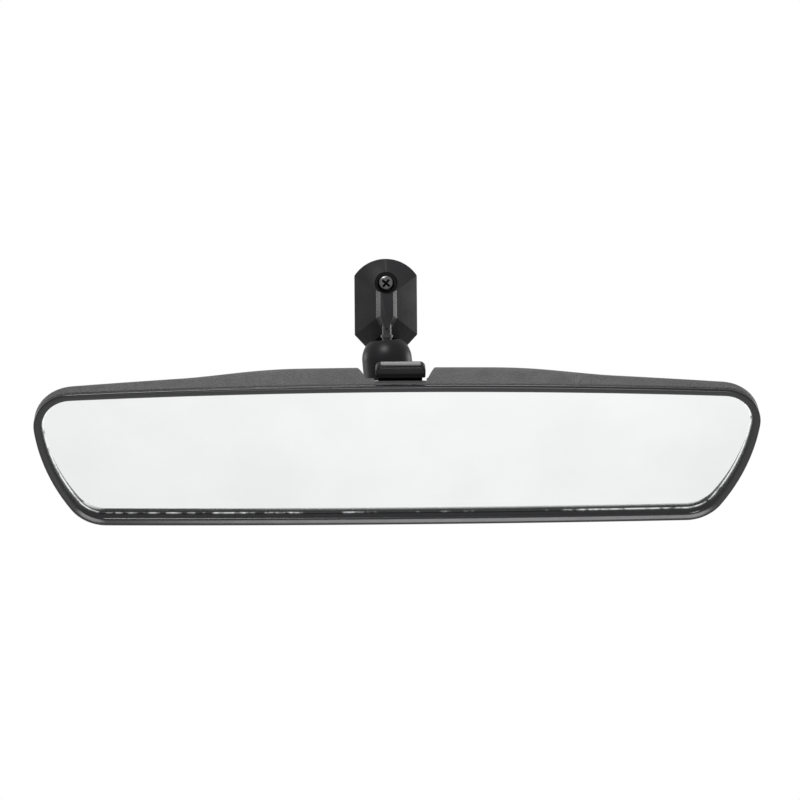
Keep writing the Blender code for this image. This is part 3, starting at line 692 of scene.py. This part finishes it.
def foot_ring(y, half_width, shoulder, crown, low_corner, bottom_half, bottom, steps=32):
    """Outline of the foot at one depth: crown over the shoulders, cut lower corners."""
    points = []
    for step in range(steps + 1):
        x = half_width * (1 - 2 * step / steps)
        rise = 0
        if crown > 0:
            radius = (half_width**2 + crown**2) / (2 * crown)
            rise = sqrt(radius**2 - x**2) - (radius - crown)
        points.append((x, y, shoulder + rise))
    points += [(-half_width, y, low_corner), (-bottom_half, y, bottom)]
    points += [(bottom_half, y, bottom), (half_width, y, low_corner)]
    return points


def foot():
    full = (FOOT_HALF_WIDTH, FOOT_SHOULDER, FOOT_CROWN, FOOT_LOW_CORNER, FOOT_BOTTOM_HALF, FOOT_BOTTOM)
    rings = [foot_ring(FOOT_BACK, *full), foot_ring(FOOT_EDGE, *full)]
    rings += [foot_ring(*RIB_START), foot_ring(*RIB_FRONT)]
    casting = soften(lofted("foot_casting", rings), 0.45 * MM, 4, 16, 60)
    pocket = prism("pocket", rounded_box(*POCKET_HALF, 2.3 * MM), "Y", POCKET_FLOOR, 5 * MM)
    counterbore = rod(
        "counterbore", "Y", COUNTERBORE_RADIUS, (0, SCREW_Z), -20 * MM, COUNTERBORE_FLOOR, segments=96
    )
    screw_way = rod("screw_way", "Y", 1.8 * MM, (0, SCREW_Z), -20 * MM, 5 * MM)
    stud_way = rod(
        "stud_way", "Z", NECK_RADIUS + GAP, (UPPER_BALL.x, UPPER_BALL.y), -20 * MM, -3.4 * MM
    )
    ball = [
        ((ARM_RADIUS + 0.6 * MM) * sin(pi * step / 32), (ARM_RADIUS + 0.6 * MM) * cos(pi * step / 32))
        for step in range(33)
    ]
    ball[0], ball[-1] = (0, ball[0][1]), (0, ball[-1][1])
    relief = turned("relief", ball, Matrix.Translation(UPPER_BALL), segments=64)
    cutters = (pocket, counterbore, screw_way, stud_way, relief)
    shaped(casting, [(cutter, "DIFFERENCE") for cutter in cutters])
    dress(casting, LOOKS["foot"])
    smooth(casting, 40)
    return finish_piece(casting, "foot", "dark_metal", "mount_foot")


def screw():
    """Pan-head cross screw: flat-topped rounded head with a cross recess painted near-black as painted
    shade.
    """
    base = -COUNTERBORE_FLOOR + GAP
    radius = 3.0 * MM
    waist = base + 1.2 * MM
    top = base + 2.3 * MM
    corner = top - waist
    profile = [(0, 2.3 * MM), (1.5 * MM, 2.3 * MM), (1.5 * MM, base), (radius - 0.1 * MM, base)]
    profile += [(radius, base + 0.1 * MM)]
    profile += arc((radius - corner, waist), corner, 0, pi / 2, 10)
    profile += [(0, top)]
    head = turned("pan_screw", profile, None, LOOKS["screw"], 64)
    # Second material: the painted shade for the cross recess.
    head.data.materials.append(LOOKS["recess"])
    reach = 1.75 * MM
    floor = base + 0.5 * MM
    cuts = []
    for name, turn in (("a", radians(50)), ("b", radians(140))):
        cutter = box(
            f"recess_{name}", (-reach, -0.42 * MM, floor), (reach, 0.42 * MM, base + 5 * MM),
            Matrix.Rotation(turn, 4, "Z"),
        )
        cuts.append((cutter, "DIFFERENCE"))
    shaped(head, cuts)
    # Faces inside the cross recess take the painted recess shade.
    for face in head.data.polygons:
        inside = floor - 0.1 * MM < face.center.z < top - 0.01 * MM and face.center.xy.length < reach
        face.material_index = int(inside)
    head.data.transform(Matrix.Translation((0, 0, SCREW_Z)) @ Matrix.Rotation(pi / 2, 4, "X"))
    smooth(head, 35)
    return finish_piece(head, "foot", "zinc", "foot_screw")


# --- carried-over pieces --------------------------------------------------------

CARRIED = {
    "mount_plate": "zinc",
    "adhesive_pad": "pad",
    "release_liner": "liner",
    "upper_ball_stud": "stud",
    "upper_ball_seat": "nylon",
    "upper_friction_ring": "nylon",
    "arm_spring": "spring",
    "upper_spring_cup": "steel",
    "lower_spring_cup": "steel",
    "lower_friction_ring": "nylon",
    "lower_ball_seat": "nylon",
    "lower_ball_stud": "steel",
    "stud_nut": "zinc",
    "pivot_bracket": "zinc",
    "pivot_pin_left": "steel",
    "pivot_pin_right": "steel",
    "detent_spring": "spring",
    "mirror_silvering": "mirror",
    "backing_pad": "foam",
    "toggle_pin": "steel",
}


def dress_carried():
    for node, look in CARRIED.items():
        dress(frame["nodes"][node], LOOKS[look])


# --- camera and studio ----------------------------------------------------------

ROOM_LIGHT = 0.7
CAMERA_DISTANCE = 900 * MM
CAMERA_TURN = radians(-2.0)
CAMERA_ROLL = radians(-0.43)
CAMERA_LENS = 114.6
AIM = HEAD @ Vector((0, 0, 0)) + Vector((0.7 * MM, 0, 20.05 * MM))


def add_camera():
    data = bpy.data.cameras.new("Camera")
    data.lens = CAMERA_LENS
    data.sensor_width = 36
    data.clip_end = 20
    camera = bpy.data.objects.new("Camera", data)
    bpy.context.collection.objects.link(camera)
    back = Vector((sin(CAMERA_TURN), -cos(CAMERA_TURN), 0))
    camera.location = AIM + back * CAMERA_DISTANCE
    camera.rotation_mode = "QUATERNION"
    roll = Matrix.Rotation(CAMERA_ROLL, 4, "Z").to_quaternion()
    camera.rotation_quaternion = (-back).to_track_quat("-Z", "Y") @ roll
    bpy.context.scene.camera = camera


def add_light(name, location, size, power):
    data = bpy.data.lights.new(name, "AREA")
    data.shape = "DISK"
    data.size = size
    data.energy = power
    lamp = bpy.data.objects.new(name, data)
    bpy.context.collection.objects.link(lamp)
    lamp.location = location
    lamp.rotation_mode = "QUATERNION"
    lamp.rotation_quaternion = (-Vector(location)).to_track_quat("-Z", "Y")


def studio():
    world = bpy.data.worlds.new("Studio")
    bpy.context.scene.world = world
    world.use_nodes = True
    tree = world.node_tree
    sky = tree.nodes["Background"]
    sky.inputs["Color"].default_value = (1, 1, 1, 1)
    seen = tree.nodes.new("ShaderNodeLightPath")
    tree.links.new(
        spread_to(tree, seen.outputs["Is Camera Ray"], ROOM_LIGHT, 1, 0, 1), sky.inputs["Strength"]
    )
    reach = 3.0
    drop = -0.72
    corners = [(-reach, -reach, drop), (reach, -reach, drop), (reach, reach, drop), (-reach, reach, drop)]
    pale = new_material("Pale floor", (0.93, 0.93, 0.93), 0.9)[0]
    floor = add_mesh("studio_floor", corners, [(0, 1, 2, 3)], None, pale)
    add_light("Key", (-0.30, -0.85, 1.00), 0.55, 14)
    add_light("Top", (0.10, 0.90, 1.55), 0.60, 6)
    add_light("Low front", (0.10, -0.80, -0.50), 0.45, 4.5)
    add_light("Right", (0.98, 0.52, 0.05), 0.50, 3.2)
    add_light("Left", (-0.95, 0.55, 0.10), 0.40, 1.6)
    bpy.context.scene.view_settings.view_transform = "Standard"


def main():
    housing()
    rim()
    glass()
    toggle()
    arm()
    foot()
    screw()
    dress_carried()
    add_camera()
    studio()


main()
